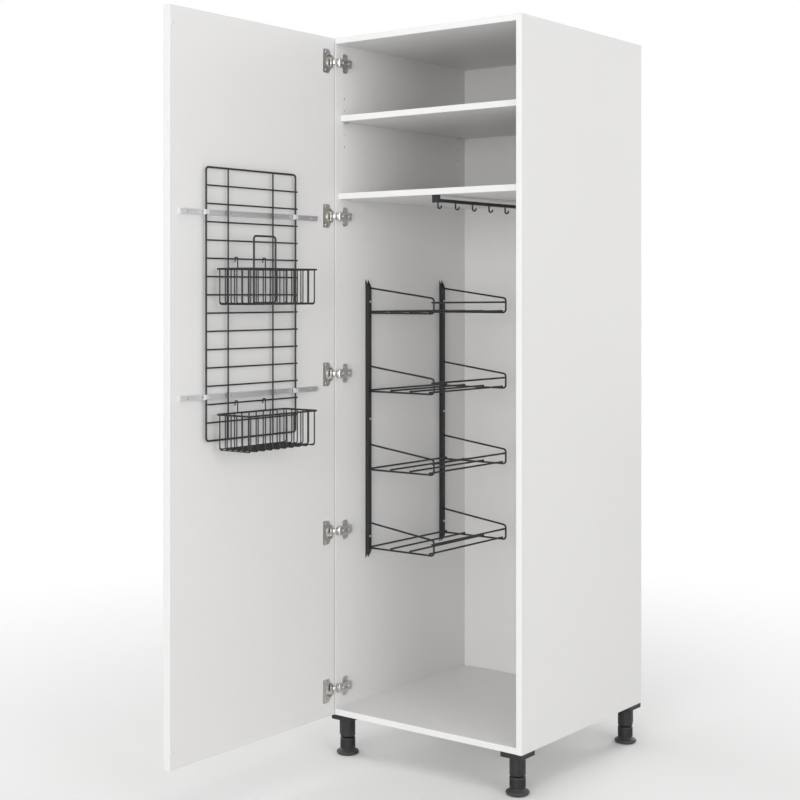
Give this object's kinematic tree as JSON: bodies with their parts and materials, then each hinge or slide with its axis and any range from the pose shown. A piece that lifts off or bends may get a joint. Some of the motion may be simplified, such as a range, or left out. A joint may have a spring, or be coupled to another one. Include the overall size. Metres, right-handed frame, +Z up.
{
  "type": "tall utility cabinet",
  "caption": "Tall free-standing kitchen cabinet with a full-height hinged door, shelves, wire rack, door baskets, hook rail and adjustable legs.",
  "frame": {"origin": "on the floor, in the middle of the box round the cabinet and its open door", "axes": "+Z up, +X to the cabinet's right as seen from its front, +Y to its back; the open front faces -Y"},
  "size_m": [0.606, 1.2006, 1.896],
  "materials": {
    "melamine": "white melamine-faced chipboard, fine satin grain, banded edges",
    "nickel": "nickel-plated pressed steel, satin",
    "beech": "fluted beech dowel",
    "zinc_screws": "zinc-plated screws",
    "black_wire": "black powder coat, fine orange-peel",
    "black_plastic": "black moulded plastic, fine grain",
    "grey_plastic": "pale grey moulded plastic, fine grain",
    "aluminium": "satin anodised aluminium, fine lengthwise drawing lines",
    "buffer_rubber": "soft translucent buffer"
  },
  "bodies": {
    "cabinet": {"left_side_panel": "melamine", "right_side_panel": "melamine", "top_panel": "melamine", "bottom_panel": "melamine", "back_panel": "melamine", "fixed_shelf": "melamine", "loose_shelf": "melamine", "shelf_pins": "nickel", "hinge_plates": "nickel", "hinge_arm_1": "nickel", "hinge_arm_2": "nickel", "hinge_arm_3": "nickel", "hinge_arm_4": "nickel", "hinge_arm_5": "nickel", "dowels": "beech", "hinge_plate_screws": "zinc_screws", "hinge_arm_screws": "zinc_screws", "rack_screws": "zinc_screws", "bracket_screws": "zinc_screws", "leg_screws": "zinc_screws", "rack_upright_front": "black_wire", "rack_upright_rear": "black_wire", "rack_shelf_1": "black_wire", "rack_shelf_2": "black_wire", "rack_shelf_3": "black_wire", "rack_shelf_4": "black_wire", "hook_rail": "black_wire", "hook_rail_brackets": "black_wire", "rail_hooks": "black_wire", "leg_plate_1": "black_plastic", "leg_plate_2": "black_plastic", "leg_plate_3": "black_plastic", "leg_plate_4": "black_plastic", "leg_tube_1": "black_plastic", "leg_tube_2": "black_plastic", "leg_tube_3": "black_plastic", "leg_tube_4": "black_plastic"},
    "door": {"door_panel": "melamine", "hinge_cup_1": "nickel", "hinge_cup_2": "nickel", "hinge_cup_3": "nickel", "hinge_cup_4": "nickel", "hinge_cup_5": "nickel", "hinge_pins": "nickel", "cup_screws": "zinc_screws", "rail_screws": "zinc_screws", "lower_rail": "aluminium", "upper_rail": "aluminium", "wire_grid": "black_wire", "caddy_basket": "black_wire", "caddy_grip": "black_wire", "lower_basket": "black_wire", "grid_clips": "grey_plastic", "door_buffers": "buffer_rubber"},
    "front_left_foot": {"foot_1": "black_plastic"},
    "front_right_foot": {"foot_2": "black_plastic"},
    "rear_left_foot": {"foot_3": "black_plastic"},
    "rear_right_foot": {"foot_4": "black_plastic"}
  },
  "joints": [
    {"name": "door_swing", "type": "hinge", "parent": "cabinet", "child": "door", "pos_m": [-0.2885, -0.01025, 1.001], "axis": [0, 0, 1], "range_deg": [-5, 90]},
    {"name": "front_left_foot_turn", "type": "hinge", "parent": "cabinet", "child": "front_left_foot", "pos_m": [-0.265, 0.03225, 0.056], "axis": [0, 0, 1], "continuous": true},
    {"name": "front_right_foot_turn", "type": "hinge", "parent": "cabinet", "child": "front_right_foot", "pos_m": [0.271, 0.03225, 0.056], "axis": [0, 0, 1], "continuous": true},
    {"name": "rear_left_foot_turn", "type": "hinge", "parent": "cabinet", "child": "rear_left_foot", "pos_m": [-0.265, 0.56825, 0.056], "axis": [0, 0, 1], "continuous": true},
    {"name": "rear_right_foot_turn", "type": "hinge", "parent": "cabinet", "child": "rear_right_foot", "pos_m": [0.271, 0.56825, 0.056], "axis": [0, 0, 1], "continuous": true}
  ]
}
